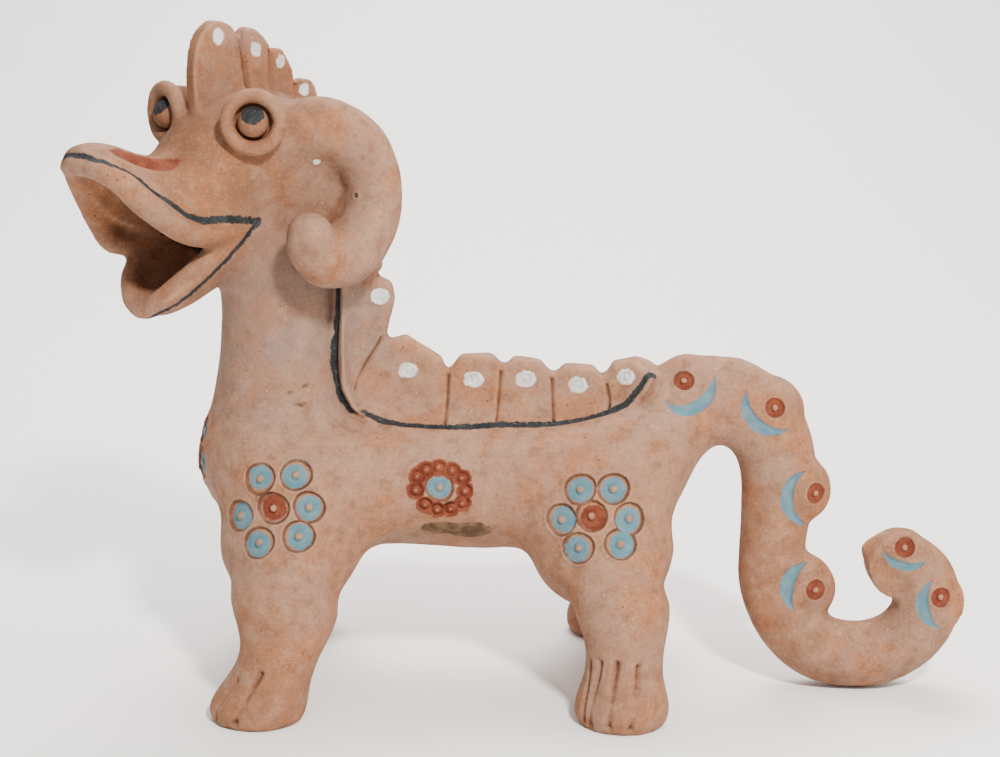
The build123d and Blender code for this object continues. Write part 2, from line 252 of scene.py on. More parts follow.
def cold_paint_group():
    """Thin brushed paint; Inside is the distance in from the brush mark's edge in millimetres."""
    tree = bpy.data.node_groups.new("cold_paint", "ShaderNodeTree")
    for socket in ("Under", "Paint", "Thin Paint"):
        tree.interface.new_socket(socket, in_out="INPUT", socket_type="NodeSocketColor")
    tree.interface.new_socket("Inside", in_out="INPUT", socket_type="NodeSocketFloat")
    tree.interface.new_socket("Colour", in_out="OUTPUT", socket_type="NodeSocketColor")
    source = tree.nodes.new("NodeGroupInput")
    sink = tree.nodes.new("NodeGroupOutput")
    place = (node(tree, "ShaderNodeTexCoord"), "Object")
    ragged = maths(tree, "MULTIPLY", maths(tree, "SUBTRACT", noise_at(tree, place, 900.0), 0.5), 1.1)
    cover = ramp(tree, maths(tree, "ADD", (source, "Inside"), ragged), -0.12, 0.22)
    rubs = ramp(tree, noise_at(tree, place, 1900.0, 3.0, 0.65), 0.56, 0.72, 1.0, 0.55)
    thinned = ramp(tree, noise_at(tree, place, 420.0), 0.38, 0.66)
    shade = blend(tree, thinned, (source, "Paint"), (source, "Thin Paint"))
    painted = blend(tree, maths(tree, "MULTIPLY", cover, rubs), (source, "Under"), shade)
    tree.links.new(painted[0].outputs[painted[1]], sink.inputs["Colour"])
    return tree


fired_clay = fired_clay_group()
cold_paint = cold_paint_group()
PAINTS = {
    "stain": ((0.060, 0.032, 0.015, 1), (0.145, 0.080, 0.040, 1)),
    "blue_paint": ((0.070, 0.160, 0.195, 1), (0.115, 0.190, 0.215, 1)),
    "red_paint": ((0.125, 0.023, 0.009, 1), (0.18, 0.043, 0.018, 1)),
    # painted shade: near black brushed into the back of the mouth, where shade falls
    "soot": ((0.012, 0.007, 0.005, 1), (0.040, 0.020, 0.012, 1)),
    "line_paint": ((0.010, 0.013, 0.015, 1), (0.022, 0.026, 0.028, 1)),
    "white_paint": ((0.62, 0.62, 0.61, 1), (0.48, 0.44, 0.40, 1)),
}


def clay_material(name, *paints):
    """Unglazed clay with the cold paints that the piece carries."""
    material = bpy.data.materials.new(name)
    material.use_nodes = True
    tree = material.node_tree
    shader = tree.nodes["Principled BSDF"]
    clay = node(tree, "ShaderNodeGroup", {"node_tree": fired_clay})
    colour = (clay, "Colour")
    for paint in paints:
        thick, thin = PAINTS[paint]
        coat = node(
            tree,
            "ShaderNodeGroup",
            {"node_tree": cold_paint},
            Under=colour,
            Paint=thick,
            Thin_Paint=thin,
            Inside=attribute(tree, paint),
        )
        colour = (coat, "Colour")
    tree.links.new(colour[0].outputs[colour[1]], shader.inputs["Base Color"])
    tree.links.new(clay.outputs["Roughness"], shader.inputs["Roughness"])
    shader.inputs["Specular IOR Level"].default_value = 0.25
    bump = node(tree, "ShaderNodeBump", Strength=0.75, Distance=0.0003, Height=(clay, "Height"))
    tree.links.new(bump.outputs["Normal"], shader.inputs["Normal"])
    return material


class Surface:
    """The wet skin: places and normals of its points, how far each is pushed in, and its paint."""

    def __init__(self, places, normals):
        self.places, self.normals = places / MM, normals
        self.lift = np.zeros(len(places))
        # distance to the nearest stamp wall or cut, where the clay shader paints shade
        self.rim = np.full(len(places), 9.0)
        self.fine = np.zeros(len(places), bool)
        self.paint = {name: np.full(len(places), -9.0) for name in PAINTS}

    def spot(self, centre, facing):
        """The nearest place on the skin that faces the tool, and the way out of the clay there."""
        gap = np.linalg.norm(self.places - centre, axis=1)
        gap[self.normals @ np.array(facing, float) < 0.3 * np.linalg.norm(facing)] = 99
        origin = self.places[gap.argmin()]
        around = (np.linalg.norm(self.places - origin, axis=1) < 2.2) & (gap < 99)
        out = self.normals[around].sum(0)
        return origin, out / np.linalg.norm(out)

    def flat(self, centre, facing, reach, square=False):
        """Points around a spot and their two distances across it: sideways and upwards."""
        origin, out = self.spot(centre, facing)
        if square:
            out = np.array(facing) / np.linalg.norm(facing)
            origin = np.array(centre) + out * ((origin - centre) @ out)
        within = np.linalg.norm(self.places - origin, axis=1) < reach
        near = np.nonzero(within & (self.normals @ out > 0.1))[0]
        side = np.cross(out, (0, 0, 1) if abs(out[2]) < 0.9 else (0, 1, 0))
        side /= np.linalg.norm(side)
        rel = self.places[near] - origin
        return near, rel @ -side, rel @ np.cross(side, out)

    def push(self, near, depth):
        """Moves points along their normals; dents don't add up, the deepest one stays."""
        here = self.lift[near]
        self.lift[near] = np.where(depth < 0, np.minimum(here, depth), here + depth * (here >= 0))

    def brush(self, paint, near, inside):
        """Lays paint; inside is the distance in from the mark's edge."""
        self.paint[paint][near] = np.maximum(self.paint[paint][near], inside)


def tube_mark(centre, facing, radius, depth, nub, paint, patch, shift=(0.0, 0.0), bare=0.72):
    """A round tool end: a sharp sunk ring, a dished floor, a small nub, a dab of paint."""

    def mark(skin):
        near, across, up = skin.flat(centre, facing, radius + 1.6)
        turn = np.arctan2(up, across)
        unround = 1 + 0.025 * np.sin(2 * turn + centre[0]) + 0.015 * np.sin(3 * turn + centre[2])
        out = np.hypot(across, up) * unround
        wall = np.clip((radius - out) / 0.32, 0, 1)
        floor_depth = -depth * (0.72 + 0.28 * (out / radius) ** 2)
        floor_depth += 1.05 * depth * np.sqrt(np.clip(1 - (out / nub) ** 2, 0, 1))
        floor_depth -= 0.14 * np.exp(-(((out - nub - 0.25) / 0.22) ** 2))
        raised_lip = 0.15 * np.exp(-(((out - radius - 0.3) / 0.35) ** 2))
        skin.push(near, np.where(out < radius, wall * floor_depth, raised_lip))
        # rim: distance from just inside the ring wall, where shade is painted; none where a deeper dent cut
        # the ring away
        cut_over = skin.lift[near] < floor_depth - 0.3
        skin.rim[near] = np.minimum(skin.rim[near], np.abs(out - radius + 0.12) + 9 * cut_over)
        skin.fine[near[(np.abs(out - radius) < 0.75) | (out < nub + 0.6)]] = True
        if paint:
            off = np.hypot(across - shift[0], up - shift[1])
            skin.brush(paint, near, np.minimum(patch - off, 2.2 * (out - bare * nub)))

    marks.append(mark)


def cut_mark(line, depth, width, paint="", half=0.0):
    """A blade or brush drawn along a line of places."""

    def mark(skin):
        spots = [skin.spot(place, facing)[0] for place, facing in line]
        gap = line_gap(skin.places, spots)
        near = np.nonzero(gap < 2 + max(width, half) * 2)[0]
        if depth:
            skin.push(near, -depth * np.exp(-((gap[near] / width) ** 2)) + 1e-9)
            # rim: the groove's middle gets painted shade
            skin.rim[near] = np.minimum(skin.rim[near], gap[near] + 0.05)
            skin.fine[near[gap[near] < 2.2 * width]] = True
        if paint:
            skin.brush(paint, near, half - gap[near])

    marks.append(mark)


def dab(centre, facing, half_across, half_up, paint, depth=0.0, tilt=0.0):
    """An oval brush dab, or a thumbed hollow if depth is given."""

    def mark(skin):
        near, across, up = skin.flat(centre, facing, max(half_across, half_up) * 1.6 + 1)
        turned = across * cos(tilt) + up * sin(tilt), up * cos(tilt) - across * sin(tilt)
        out = np.hypot(turned[0] / half_across, turned[1] / half_up)
        skin.lift[near] -= depth * np.clip(1.25 - out, 0, 1) ** 1.5
        skin.brush(paint, near, (1 - out) * min(half_across, half_up))

    marks.append(mark)


def crescent(centre, facing, radius, middle, span, thick, paint):
    """The edge of a tube pressed at a slant: an arc about middle degrees, tapering over span."""

    def mark(skin):
        near, across, up = skin.flat(centre, facing, radius + thick + 2, square=True)
        turn = (np.degrees(np.arctan2(up, across)) - middle + 180) % 360 - 180
        half = 0.5 * thick * np.cos(np.clip(turn / span, -1, 1) * pi / 2) - 0.25 * (np.abs(turn) > span)
        inside = half - np.abs(np.hypot(across, up) - radius)
        skin.push(near, -0.5 * np.clip((inside + 0.15) / 0.55, 0, 1) + 1e-9)
        # rim: painted shade along the outer edge of the crescent's cut
        edge = np.where(np.hypot(across, up) > radius, np.abs(inside), 9)
        skin.rim[near] = np.minimum(skin.rim[near], edge + 0.1)
        skin.fine[near[np.abs(inside) < 0.8]] = True
        skin.brush(paint, near, inside + 0.05)

    marks.append(mark)


def line_gap(points, line):
    """Distance of each point to a polyline."""
    gap = np.full(len(points), 99.0)
    for start, end in zip(line, line[1:]):
        run = end - start
        share = np.clip(((points - start) @ run) / (run @ run), 0, 1)
        gap = np.minimum(gap, np.linalg.norm(points - start - share[:, None] * run, axis=1))
    return gap


trunk_clay = clay_material("trunk_clay", "stain", "blue_paint", "red_paint", "line_paint")
lay_on("trunk", cad_copy("trunk"), trunk_clay)

# (behind the middle of the beast, height) of each stamp, a flower's red heart first, millimetres
shoulder_flower = [(-50.9, 42.3), (-54.1, 48.1), (-46.7, 49.0), (-44.0, 42.6), (-46.3, 36.2)]
shoulder_flower += [(-53.0, 34.6), (-58.6, 40.4)]
hip_flower = [(12.8, 40.9), (10.0, 46.7), (17.0, 46.8), (20.0, 40.7), (17.8, 34.9), (11.0, 34.4), (6.5, 40.2)]
rosette_ring = [(-18.0, 50.8), (-15.3, 50.0), (-13.4, 48.0), (-12.7, 45.2), (-13.3, 42.6), (-15.7, 41.4)]
rosette_ring += [(-18.4, 41.2), (-21.0, 42.4), (-22.8, 45.2), (-22.5, 48.2), (-20.6, 50.1)]
for hand in (-1, 1):
    for flower in (shoulder_flower, hip_flower):
        for petal, (x, z) in enumerate(flower):
            colour = "blue_paint" if petal else "red_paint"
            shift = (0.35 * sin(5 * x), 0.3 * cos(3 * z))
            tube_mark((x, hand * 21, z), (0, hand, 0.15), 3.3, 0.75, 0.9, colour, 2.65, shift)
    for x, z in rosette_ring:
        tube_mark((x, hand * 18, z), (0, hand, 0.3), 1.5, 0.6, 1.0, "red_paint", 1.95, bare=0.2)
    tube_mark((-18.0, hand * 18, 46.0), (0, hand, 0.3), 3.0, 0.65, 0.9, "blue_paint", 2.4)
for petal in range(7):
    turn = petal * pi / 3
    reach = 6.9 if petal < 6 else 0.0
    place = (-68, -1 + reach * cos(turn), 48 + reach * sin(turn))
    colour = "blue_paint" if reach else "red_paint"
    tube_mark(place, (-1, 0.1 * cos(turn), 0.1), 3.3, 0.45, 0.85, colour, 2.3)
for x, z, wide, high in (
    (-17.5, 36.6, 4.8, 1.9),
    (-11.8, 35.6, 4.6, 2.3),
    (-10.5, 34.6, 3.2, 1.2),
    (-13.8, 37.3, 2.6, 1.1),
):
    dab((x, -16, z), (0, -1, -0.3), wide, high, "stain", -0.08)
for x, z, wide, high in ((-46.5, 61.6, 1.5, 0.5), (-48.5, 64.2, 1.2, 0.4), (-45.0, 65.5, 0.9, 0.4)):
    dab((x, -13, z), (0.2, -1, 0), wide, high, "stain")

# ==== Neck =======================================================================================
# A thinner roll stood on the shoulders, a little greyer where it was handled.
lay_on("neck", cad_copy("neck"), clay_material("neck_clay", "stain", "line_paint"))

# ==== Legs =======================================================================================
# Four short rolls, pressed flat on the bench, their toes cut with a blade.
leg_clay = clay_material("leg_clay", "blue_paint", "red_paint")
fore_toes = [((-58.1, 32.3, 9.8), (-62.5, 32.3, 1.6)), ((-52.8, 35.1, 12.0), (-58.2, 35.7, 1.4))]
hind_toes = [
    ((12.3, 30.0, 13.5), (11.0, 32.4, 2.0)),
    ((14.4, 32.5, 14.2), (12.4, 33.6, 1.0)),
    ((17.6, 34.4, 14.7), (16.0, 36.2, 1.5)),
    ((22.0, 34.4, 13.9), (20.6, 36.4, 1.4)),
]
for leg, thigh, toes in (
    ("foreleg", (-48.4, 14.5, 33.0), fore_toes),
    ("hindleg", (15.2, 14.5, 33.0), hind_toes),
):
    for side, hand in (("left", -1), ("right", 1)):
        rolled = cad_copy(leg + "_" + side)
        place = Matrix.Translation(Vector((thigh[0], hand * thigh[1], thigh[2])) * MM)
        bulge = place @ Matrix.Diagonal((15.6, 10.8, 13.5, 1))
        bmesh.ops.create_icosphere(rolled, subdivisions=4, radius=MM, matrix=bulge)
        lay_on(leg + "_" + side, rolled, leg_clay)
        for top, bottom in toes:
            line = [((x, hand * y, z), (-0.6, hand, 0.2)) for x, y, z in (top, bottom)]
            cut_mark(line, 1.35, 0.62)

# ==== Tail =======================================================================================
# A long roll that drops to the ground and curls up again, pinched out into round lobes.
tail_roll = cad_copy("tail")
for x, y, z, half in (
    (32.3, -1, 63.4, 7.9),
    (49.2, -1.5, 58.2, 8.2),
    (56.2, -3, 42.2, 7.3),
    (57.2, -5, 21.0, 7.8),
):
    lobe = Matrix.Translation(Vector((x, y, z)) * MM) @ Matrix.Diagonal((half, 5.6, half, 1))
    bmesh.ops.create_icosphere(tail_roll, subdivisions=4, radius=MM, matrix=lobe)
tail_clay = clay_material("tail_clay", "blue_paint", "red_paint", "line_paint")
lay_on("tail", tail_roll, tail_clay)
for dot, ring, radius, middle, span, thick in (
    # red dot, middle of the blue crescent's circle, its radius, direction, half span, thickness
    ((31.7, -6.3, 65.9), (31.9, -8, 66.3), 6.0, -65, 72, 2.7),
    ((50.6, -6.2, 60.2), (51.0, -7, 62.0), 6.6, 227, 66, 2.7),
    ((59.0, -6.4, 42.4), (59.5, -8, 41.5), 6.0, 184, 74, 2.7),
    ((59.7, -8.8, 22.1), (59.8, -9, 22.0), 5.8, 165, 62, 2.9),
    ((78.1, -10.0, 31.8), (78.8, -10, 33.5), 5.8, 258, 52, 1.9),
    ((85.7, -12.0, 21.7), (88.0, -11, 20.5), 6.1, 191, 60, 2.7),
):
    crescent(ring, (0, -1, 0.1), radius, middle, span, thick, "blue_paint")
    tube_mark(dot, (0, -1, 0.1), 2.1, 0.5, 0.75, "red_paint", 2.1)

# ==== Skull ======================================================================================
# A ball of clay turned towards the left flank.
head_turn = radians(40)
head = Matrix.Translation(Vector((-58, -3, 109)) * MM) @ Matrix(
    (
        (-cos(head_turn), sin(head_turn), 0, 0),
        (-sin(head_turn), -cos(head_turn), 0, 0),
        (0, 0, 1, 0),
        (0, 0, 0, 1),
    )
)


def on_head(forward, left, up):
    """A place on the head: millimetres forward along the bill, to the beast's left and up."""
    return head @ Vector((forward * MM, left * MM, up * MM))


head_clay = clay_material("head_clay", "soot", "red_paint", "white_paint", "line_paint")
lay_on("skull", cad_copy("skull"), head_clay)

# ==== Bill and jaw ===============================================================================
# Two bent sheets with thick rolled lips, the upper one arched, the lower one a trough. A dark line
# is brushed outside the lips and a red-brown hollow thumbed into the bill's saddle.
near_lip = [
    (38.2, 0, 2.6, 2.1), (37.0, 5.6, 2.3, 2.2), (34.3, 9.8, 0.2, 2.4),
    (31.3, 11.6, -3.2, 2.6), (27, 12.2, -6.8, 2.6),
    (22.5, 12.4, -9.8, 2.6), (18, 12.2, -11.2, 2.5), (13, 11.6, -10.9, 2.2), (8, 10.5, -10.6, 1.9),
]
far_lip = [
    (38.2, 0, 2.6, 2.1), (35.8, -6, 1.6, 2.0), (32.5, -10, -2.0, 2.1),
    (29.5, -11.6, -6.5, 2.2), (27, -12, -11, 2.3),
    (24, -12, -15, 2.4), (18, -11.6, -15.6, 2.4), (10, -10.5, -13.0, 2.2),
]
jaw_lip = [
    (7, 10.6, -11.8, 1.6), (12, 9.9, -14.6, 1.9), (16.5, 8.9, -18.0, 2.0),
    (20.5, 7.0, -21.6, 2.1), (23.2, 4, -25.0, 2.1),
    (24.2, 0, -27.2, 2.1), (24.2, -4.5, -25.4, 2.0), (21.5, -8.6, -20.5, 1.9),
    (16, -10.2, -16.5, 1.8), (9, -10.4, -12.6, 1.6),
]
def smooth_path(stations, steps=6):
    """Catmull-Rom through the stations."""
    points = [np.array(s, float) for s in stations]
    points = [2 * points[0] - points[1]] + points + [2 * points[-1] - points[-2]]
    path = []
    for a, b, c, d in zip(points, points[1:], points[2:], points[3:]):
        for step in range(steps):
            t = step / steps
            bend = (2 * a - 5 * b + 4 * c - d) * t**2 + (3 * b - a - 3 * c + d) * t**3
            path.append(0.5 * (2 * b + (c - a) * t + bend))
    return path + [points[-2]]


def add_roll(shape, stations):
    """A round roll of clay with ball ends through (place, half thickness) stations, metres."""
    rings = []
    last = len(stations) - 1
    for count, (centre, half) in enumerate(stations):
        run = stations[min(count + 1, last)][0] - stations[max(count - 1, 0)][0]
        turn = run.to_track_quat("Z", "Y").to_matrix().to_4x4()
        ring = bmesh.ops.create_circle(
            shape,
            cap_ends=count in (0, last),
            segments=20,
            radius=half,
            matrix=Matrix.Translation(centre) @ turn,
        )
        rings.append({edge for vert in ring["verts"] for edge in vert.link_edges})
    for near, far in zip(rings, rings[1:]):
        bmesh.ops.bridge_loops(shape, edges=list(near | far))
    for centre, half in (stations[0], stations[-1]):
        add_ball(shape, centre, half)


def add_ball(shape, centre, half, matrix=Matrix()):
    bmesh.ops.create_icosphere(shape, subdivisions=3, radius=half, matrix=Matrix.Translation(centre) @ matrix)


bill_clay = clay_material("bill_clay", "soot", "red_paint", "line_paint")
upper = cad_copy("upper_bill")
for lip in (near_lip, far_lip):
    add_roll(upper, [(on_head(a, b, c), r * MM) for a, b, c, r in smooth_path(lip, 4)])
lay_on("upper_bill", upper, bill_clay)
lower = cad_copy("lower_jaw")
for vert in lower.verts:
    reach = (head.inverted() @ vert.co).x / MM
    vert.co.z += 2.4 * MM * min(max((reach - 10) / 13, 0), 1)
add_roll(lower, [(on_head(a, b, c), r * MM) for a, b, c, r in smooth_path(jaw_lip, 4)])
lay_on("lower_jaw", lower, bill_clay)


def head_line(stations, facing):
    """A line on the head for cut_mark: places in the head's own millimetres."""
    return [(on_head(*place) / MM, head.to_3x3() @ Vector(facing)) for place in stations]


bill_line = [
    (39.5, -3, 4.4), (39.4, 2, 5.2), (37.4, 6.6, 4.2),
    (34.3, 9.8, 2.2), (30.8, 11.2, 0.2), (28.4, 11.8, -1.9),
    (25.0, 12.4, -4.4), (22.0, 12.9, -7.0), (18.7, 13.2, -8.4),
    (14.9, 13.2, -8.5), (11.7, 12.8, -8.6), (4.5, 10.5, -9.9),
]
jaw_line = [
    (4.5, 10.5, -10.0), (8.2, 11.6, -13.4), (13, 10.6, -17.8),
    (18.3, 8.9, -22.3), (22.4, 6.0, -26.2), (24.4, 1, -29.0),
    (25.5, -4, -27.5),
]
cut_mark(head_line(bill_line, (0.5, 0.7, 0.2)), 0.25, 0.7, "line_paint", 0.8)
cut_mark(head_line(jaw_line, (0.5, 0.7, -0.1)), 0.25, 0.6, "line_paint", 0.62)
# Painted shade: the back of the mouth is darkened near black around this place.
throat = on_head(11, -1, -12) / MM


def paint_throat_shade(skin):
    """Painted shade: the back of the mouth brushed near black, where shade falls deep in the throat."""
    rel = (skin.places - np.array(throat)) @ np.array(head.to_3x3())
    skin.brush("soot", np.arange(len(rel)), 6 * (1 - np.linalg.norm(rel / (9.5, 8.8, 6.5), axis=1)))


marks.append(paint_throat_shade)
far_bill_line = [
    (39.5, -3, 4.4), (36, -9, 2.0), (31, -13, -4.5), (26.5, -14, -10.5), (20, -14, -12.0), (10, -13, -10.5),
]
cut_mark(head_line(far_bill_line, (0.3, -1, 0.2)), 0.25, 0.7, "line_paint", 0.75)
dab(on_head(26.2, 4.6, 2.6) / MM, (0, 0, 1), 7.4, 3.2, "red_paint", 2.4, radians(-40))

# ==== Horns ======================================================================================
# A thick roll curled round beside each cheek, its middle closed by a thumbed hollow, the tip
# left as a blunt ball.
horn_path = [
    # forward, left, up, half thickness
    (3, 8, 4.5, 7.0),
    (-3, 12.5, 7.4, 6.9),
    (-9.0, 16.5, 7.4, 6.8),
    (-14.4, 19.3, 3.8, 6.3),
    (-17.0, 20.6, -3.0, 5.8),
    (-15.6, 21.2, -10.2, 6.0),
    (-10.8, 21.6, -15.4, 6.5),
    (-5.0, 22.2, -16.6, 6.3),
    (-0.6, 23.0, -14.0, 5.4),
    (0.6, 23.8, -11.6, 4.7),
]


horn_clay = clay_material("horn_clay", "white_paint")
for horn, hand in (("horn_left", 1), ("horn_right", -1)):
    curl = bmesh.new()
    stations = [(on_head(a, hand * b, c), r * MM) for a, b, c, r in smooth_path(horn_path)]
    add_roll(curl, stations)
    add_ball(
        curl,
        on_head(-9.0, hand * 14.0, -4.0),
        MM,
        head.to_3x3().to_4x4() @ Matrix.Diagonal((10.0, 3.4, 12.0, 1)),
    )
    lay_on(horn, curl, horn_clay)
dab(on_head(-3.3, 21, 0.1) / MM, (-0.3, -1, 0), 0.75, 0.75, "white_paint")
tube_mark(on_head(-12.6, 22, -5.1) / MM, (-0.3, -1, 0), 0.45, 0.9, 0.1, "", 0)

# ==== Crests =====================================================================================
# A strip luted along nape and back, its top cut into six lobes, its foot spread over the back and
# edged with dark paint; and a taller fan of four lobes on the crown.
crest_clay = clay_material("crest_clay", "white_paint", "line_paint")
back_outline = [
    # behind the middle of the beast, height
    (-44, 93), (-36, 93), (-31.6, 91.5), (-30.2, 88),
    (-32.2, 86), (-28.6, 84.6), (-27.8, 81), (-29.9, 72.6),
    (-29.4, 72.4), (-25.6, 73.6), (-22.6, 71.6), (-18.1, 68.9),
    (-17.0, 65.6), (-16.4, 66.4), (-14.2, 69.6),
    (-7.6, 69.8), (-6.0, 67.9), (-5.6, 65.8), (-5.0, 66.9),
    (-3.2, 69.2), (2.4, 68.7), (4.4, 66.2), (4.8, 64.4),
    (5.6, 65.8), (7.4, 67.7), (13.6, 67.4), (15.2, 65.0),
    (15.6, 63.8), (16.2, 65.8), (17.4, 68.4), (22.6, 68.9),
    (25.0, 67.5), (27.5, 66.5), (27, 60), (14, 51), (-17, 46), (-28, 47), (-42, 56), (-47, 76),
]
foot_line = [
    # behind the middle of the beast, height
    (-38.8, 87), (-39.5, 76), (-39.9, 68.9), (-38.6, 62.7),
    (-36.8, 59.7), (-31.2, 56.4), (-25, 54.5), (-17.8, 54.4),
    (-7.1, 55.5), (4.8, 55.2), (8.9, 55.5), (15.7, 57.9),
    (20.3, 60.3), (22.9, 63.3), (24.9, 66.6), (26.1, 68.1),
]
for hand in (-1, 1):
    cut_mark([((x, hand * 7, z), (0, hand, 0.25)) for x, z in foot_line], 0.35, 0.6, "line_paint", 0.95)
crest_foot = [
    (-37.6, 93), (-37.6, 85.5), (-38.2, 72), (-37.8, 64),
    (-35.8, 59.7), (-31.2, 56.2), (-25, 54.4), (-17.8, 54.2),
    (-7, 55.4), (4.8, 55.2), (10, 55.7), (15.7, 57.7), (20.3, 60.3), (23.5, 64), (25.5, 67.5),
]


def cut_slab(outline, thickness, matrix):
    """A flat strip cut to an outline of (across, up) places, millimetres."""
    shape = bmesh.new()
    corners = [shape.verts.new((x * MM, -thickness / 2 * MM, z * MM)) for x, z in outline]
    front = shape.faces.new(corners)
    slab = bmesh.ops.extrude_face_region(shape, geom=[front])
    moved = [part for part in slab["geom"] if isinstance(part, bmesh.types.BMVert)]
    bmesh.ops.translate(shape, verts=moved, vec=(0, thickness * MM, 0))
    bmesh.ops.triangulate(shape, faces=shape.faces)
    bmesh.ops.recalc_face_normals(shape, faces=shape.faces)
    bmesh.ops.transform(shape, matrix=matrix, verts=shape.verts)
    return shape


def modified(thing, kind, **settings):
    """Applies one modifier to an object's mesh."""
    modifier = thing.modifiers.new(kind.lower(), kind)
    for key, value in settings.items():
        setattr(modifier, key, value)
    depsgraph = bpy.context.evaluated_depsgraph_get()
    mesh = bpy.data.meshes.new_from_object(thing.evaluated_get(depsgraph))
    thing.modifiers.clear()
    thing.data = mesh


lay_on("back_crest", cut_slab(back_outline, 4.4, Matrix()), crest_clay)
crest = pieces["back_crest"]
modified(crest, "REMESH", mode="VOXEL", voxel_size=0.8 * MM)
flare_line = [np.array((x, 0, z)) * MM for x, z in crest_foot]
for vert in crest.data.vertices:
    spot = np.array((vert.co.x, 0, vert.co.z))[None]
    vert.co.y *= 1 + 3.2 * np.exp(-line_gap(spot, flare_line)[0] / (3.4 * MM))

for hand in (-1, 1):
    for top, bottom in (
        ((-29.3, 73.4), (-37.0, 62.6)),
        ((-16.9, 66.5), (-17.3, 54.6)),
        ((-5.7, 66.7), (-6.7, 55.4)),
        ((4.8, 65.6), (5.1, 55.4)),
        ((15.6, 65.0), (17.2, 58.4)),
    ):
        middle_way = ((top[0] + bottom[0]) / 2, (top[1] + bottom[1]) / 2)
        line = [((x, hand * 5, z), (0, hand, 0.2)) for x, z in (top, middle_way, bottom)]
        cut_mark(line, 0.8, 0.4)
    for x, z in ((-30.5, 82.2), (-25.0, 66.7), (-11.6, 65.0), (-0.6, 65.1), (10.1, 64.1), (20.2, 65.7)):
        dab((x, hand * 4, z), (0, hand, 0.1), 2.1, 1.7, "white_paint")
        tube_mark((x, hand * 4, z), (0, hand, 0.1), 1.0, 0.3, 0.7, "", 0)
    for x, z, drop in ((-17.2, 55.0, 1.6), (5.1, 57.0, 3.6), (16.6, 60.5, 4.5)):
        line = [((x, hand * 6, z), (0, hand, 0.4)), ((x + 0.3, hand * 7, z - drop), (0, hand, 0.4))]
        cut_mark(line, 0, 0, "line_paint", 0.4)

head_outline = [
    # forward, up
    (11.5, 4), (12.2, 13), (12.4, 20), (11.0, 25.6), (7.6, 28.8), (4.0, 28.2), (1.9, 25.9), (1.3, 25.8),
    (-0.2, 27.3), (-2.6, 26.8), (-5.0, 24.2), (-6.1, 22.5),
    (-6.6, 22.8), (-8.4, 22.9), (-10.4, 20.0), (-11.9, 16.4),
    (-12.6, 16.6), (-15.0, 16.6), (-17.0, 13.4), (-17.0, 3),
]
head_outline = [tuple(place) for place in smooth_path(head_outline, 4)]
lay_on("head_crest", cut_slab(head_outline, 3.4, head), crest_clay)
for hand in (-1, 1):
    for groove in (((1.6, 26.0), (0.2, 16.0)), ((-5.6, 22.6), (-5.7, 14.5)), ((-12.0, 16.6), (-11.6, 11.5))):
        line = [(on_head(a, hand * 1.8, c) / MM, head.to_3x3() @ Vector((0, hand, 0.1))) for a, c in groove]
        cut_mark(line, 0.9, 0.6)
    for a, c, size in ((6.6, 25.6, 1.3), (-2.0, 22.9, 1.2), (-7.9, 20.3, 1.1), (-13.9, 14.4, 1.1)):
        outward = head.to_3x3() @ Vector((0, hand, 0))
        dab(on_head(a, hand * 1.8, c) / MM, outward, size, 1.25 * size, "white_paint")

# ==== Eyes =======================================================================================
# Each eye is a short coil of clay closed into a ring on a little pad, with a ball pressed into it.
eye_clay = clay_material("eye_clay", "line_paint")
pupils = {}
for side, (forward, left, turn) in {"left": (7.7, 15.1, 50), "right": (12.2, -9.0, -4)}.items():
    outward = radians(turn)
    eye = (
        Matrix.Translation(on_head(forward, left, 10.2))
        @ head.to_3x3().to_4x4()
        @ Vector((cos(outward), sin(outward), 0)).to_track_quat("Z", "Y").to_matrix().to_4x4()
    )
    ring = bmesh.new()
    add_roll(
        ring,
        [
            (eye @ Vector((5.1 * cos(a) * MM, 5.1 * sin(a) * MM, 0.4 * sin(a / 2) * MM)), 1.5 * MM)
            for a in np.linspace(0.15, 2 * pi + 0.05, 40)
        ],
    )
    bmesh.ops.create_cone(
        ring,
        cap_ends=True,
        segments=32,
        radius1=5.0 * MM,
        radius2=5.6 * MM,
        depth=6.0 * MM,
        matrix=eye @ Matrix.Translation((0, 0, -4.2 * MM)),
    )
    lay_on("eye_ring_" + side, ring, eye_clay)
    join = eye.translation / MM
    nick = (Vector((3.5, 0, 0.2)), Vector((5.8, 0, -1.6)))
    cut_mark([(join + place, (0, -1, 0)) for place in nick], 0.5, 0.35)
    ball = bmesh.new()
    bmesh.ops.create_uvsphere(ball, u_segments=64, v_segments=48, radius=3.0 * MM, matrix=eye)
    lay_on("eyeball_" + side, ball, eye_clay)
    look = (eye.to_3x3() @ Vector((0, 0, 1)) + Vector((0.08, 0, 0.95))).normalized()
    pupils["eyeball_" + side] = (eye.translation + 3.0 * MM * look) / MM

# ==== Luting =====================================================================================
# The wet pieces are scored, slipped and smeared together with a thumb, so each joint is a soft
# hollow. The skin is made once, smoothed at the joints, pressed and painted, and parted again.
names = [name for name in pieces if "eyeball" not in name]
grain_size = 0.45 * MM
ROLL_SMEARS = {
    # how far the thumb smears each joint between the big rolls, mm
    ("trunk", "leg"): 16.0,
    ("trunk", "neck"): 14.0,
    ("trunk", "tail"): 12.0,
    ("skull", "neck"): 8.0,
    ("skull", "horn"): 7.0,
    ("skull", "bill"): 5.0,
    ("skull", "jaw"): 4.0,
    ("neck", "jaw"): 5.0,
}
STRIP_SMEARS = {
    ("crest", "trunk"): 2.2,
    ("crest", "neck"): 2.2,
    ("crest", "tail"): 3.0,
    ("crest", "skull"): 3.0,
    ("skull", "eye"): 2.0,
    ("skull", "bill"): 3.0,
}


def vertex_places(mesh):
    flat = np.empty(len(mesh.vertices) * 3)
    mesh.vertices.foreach_get("co", flat)
    return flat.reshape(-1, 3)


